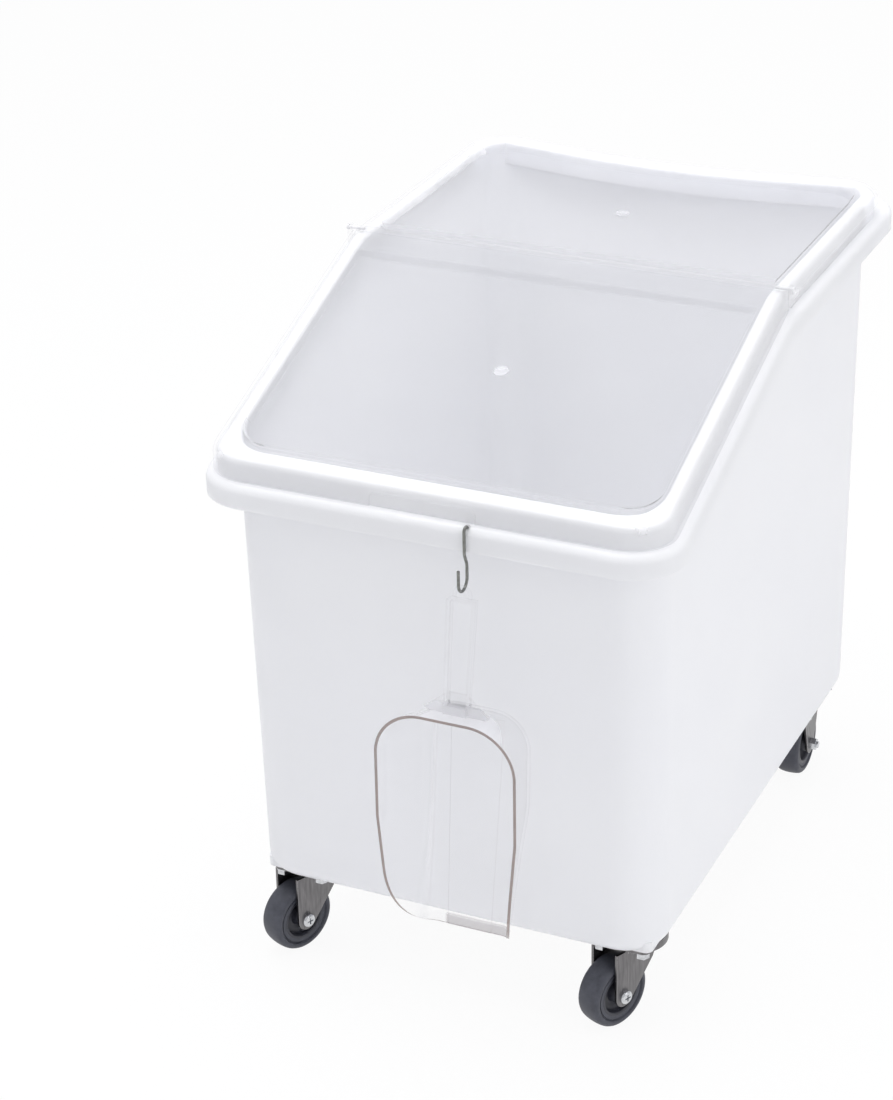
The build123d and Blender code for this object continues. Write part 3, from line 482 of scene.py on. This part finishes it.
axles = {joint["child"]: joint for joint in frame["joints"] if joint["name"].endswith("_wheel_spin")}
for body, joint in axles.items():
    centre = Vector(joint["pos_m"])
    axle = Vector(joint["axis"]).normalized()
    tyre = lathe(both_sides(TREAD_LINE), centre, axle)
    finish_mesh(tyre, body + "_tyre", "tread_grey", body, (body + "_tread",), WHEEL_CREASE)
    core = lathe(both_sides(HUB_LINE), centre, axle)
    finish_mesh(core, body + "_core", "hub_dark", body, (body + "_hub",), WHEEL_CREASE)

# Gate marks: the small round scars that moulding leaves in the middle of each lid
GATE_STEPS = 48
GATE_LINE = [(0.6, 0.0), (0.6, 0.5), (5.2, 0.35), (6.0, 0.8), (6.9, 0.8), (7.6, 0.0)]


def gate_mark(lid, y):
    """Sets a mark on the sunk panel of a lid, on the middle line of the bin, found from above."""
    mesh = nodes[lid].data
    corners = [vert.co for vert in mesh.vertices]
    solid = BVHTree.FromPolygons(corners, [face.vertices for face in mesh.polygons])
    spot, up, _, _ = solid.ray_cast(Vector((0, y * MM, 2)), Vector((0, 0, -1)))
    shape = lathe(GATE_LINE, spot, up, GATE_STEPS)
    finish_mesh(shape, lid + "_gate_mark", "lid_clear", homes[lid], others=("lid_mark",))


gate_mark("front_lid", -145.0)
gate_mark("rear_lid", 185.0)

# Floor: half its side in metres, and how much of what a look at it shows is plain white light
FLOOR_HALF = 12.0
BACKDROP_SHARE = 0.93


def lay_floor():
    """White floor that also stands in for the backdrop: it shows white with a soft shadow."""
    paint = Paint("pale_floor", (0.93, 0.93, 0.935), Roughness=0.9)
    paths = paint.tree.nodes.new("ShaderNodeLightPath")
    kinds = ("Is Camera Ray", "Is Glossy Ray", "Is Transmission Ray")
    seen = [Shade(paint, paths.outputs[kind]) for kind in kinds]
    white = paint.node("ShaderNodeEmission", {}, {"Color": (1.0, 1.0, 1.0, 1.0), "Strength": 1.0})
    share = (seen[0] + seen[1] + seen[2]).clamp() * BACKDROP_SHARE
    lit = Shade(paint, paint.shader.outputs[0])
    mixed = paint.node("ShaderNodeMixShader", {}, {0: share, 1: lit, 2: white})
    paint.tree.links.new(mixed.socket, paint.tree.nodes["Material Output"].inputs["Surface"])
    mesh = bpy.data.meshes.new("floor")
    corners = [(-FLOOR_HALF, -FLOOR_HALF, 0), (FLOOR_HALF, -FLOOR_HALF, 0),
               (FLOOR_HALF, FLOOR_HALF, 0), (-FLOOR_HALF, FLOOR_HALF, 0)]
    mesh.from_pydata(corners, [], [(0, 1, 2, 3)])
    mesh.materials.append(paint.material)
    floor = bpy.data.objects.new("floor", mesh)
    bpy.context.scene.collection.objects.link(floor)


# Lamps: name, place, size in metres, power in watts
SKY_LEVEL = 0.7
LAMP_AIM = (0, 0, 0.35)
LAMPS = (
    ("key", (2.9, -0.6, 1.3), 1.8, 11.5),
    ("fill", (-1.8, -2.6, 1.8), 2.0, 2.5),
    ("top", (-0.3, 0.0, 3.2), 2.4, 56.0),
)


def light_room():
    """Even pale sky with three broad lamps."""
    world = bpy.data.worlds.new("room")
    bpy.context.scene.world = world
    world.use_nodes = True
    sky = world.node_tree.nodes["Background"]
    sky.inputs["Color"].default_value = (0.97, 0.975, 1.0, 1.0)
    sky.inputs["Strength"].default_value = SKY_LEVEL
    for name, place, size, power in LAMPS:
        lamp = bpy.data.lights.new(name, "AREA")
        lamp.size = size
        lamp.energy = power
        holder = bpy.data.objects.new(name, lamp)
        bpy.context.scene.collection.objects.link(holder)
        holder.location = place
        aim = Vector(LAMP_AIM) - Vector(place)
        holder.rotation_euler = aim.to_track_quat("-Z", "Y").to_euler()


# Camera: the photo's height in pixels, place in metres, yaw, pitch and roll in degrees, and the focal
# length and shift in pixels of the photo
PHOTO_HEIGHT = 1100
CAMERA_PLACE = (1.0771, -2.6264, 1.8064)
CAMERA_TURN = (24.614, -24.453, -1.046)
CAMERA_FOCAL = 2975.7
CAMERA_SHIFT = (1.1, -110.0)


def set_camera():
    """Camera as fitted to the photo."""
    camera = bpy.data.cameras.new("camera")
    holder = bpy.data.objects.new("camera", camera)
    bpy.context.scene.collection.objects.link(holder)
    yaw, pitch, roll = (math.radians(value) for value in CAMERA_TURN)
    forward = Vector((-math.sin(yaw) * math.cos(pitch), math.cos(yaw) * math.cos(pitch), math.sin(pitch)))
    right = Vector((math.cos(yaw), math.sin(yaw), 0))
    up = right.cross(forward)
    across = right * math.cos(roll) + up * math.sin(roll)
    above = up * math.cos(roll) - right * math.sin(roll)
    turn = Matrix((across, above, -forward)).transposed()
    holder.matrix_world = Matrix.Translation(Vector(CAMERA_PLACE)) @ turn.to_4x4()
    camera.sensor_width = 36.0
    camera.lens = CAMERA_FOCAL * camera.sensor_width / PHOTO_HEIGHT
    camera.shift_x = -CAMERA_SHIFT[0] / PHOTO_HEIGHT
    camera.shift_y = CAMERA_SHIFT[1] / PHOTO_HEIGHT
    camera.clip_end = 100.0
    bpy.context.scene.camera = holder


lay_floor()
light_room()
set_camera()
bpy.context.scene.view_settings.view_transform = "Standard"
